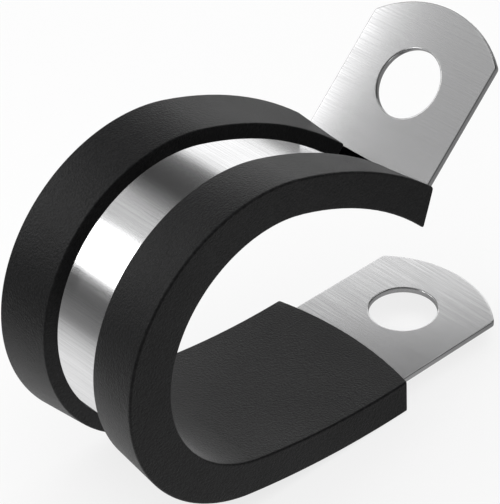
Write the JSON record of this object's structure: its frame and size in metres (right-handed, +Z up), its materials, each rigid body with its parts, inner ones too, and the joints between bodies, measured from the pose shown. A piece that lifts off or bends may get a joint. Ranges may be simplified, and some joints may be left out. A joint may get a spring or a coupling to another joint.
{
  "type": "cushioned p clip",
  "caption": "Steel strap bent into an open loop with two holed ears, lined by a rubber channel, to hold a cable or pipe.",
  "frame": {"origin": "centre of the lower ear's hole, on the ear's top face", "axes": "+X out along the lower ear to its tip, +Y across the strap, +Z up towards the upper ear"},
  "size_m": [0.0471, 0.0174, 0.033],
  "materials": {
    "strap_steel": "fine brushed grain across the strap",
    "cushion_rubber": "matte black with a fine grain"
  },
  "bodies": {
    "root": {"steel_strap": "strap_steel", "rubber_cushion": "cushion_rubber"}
  },
  "joints": []
}
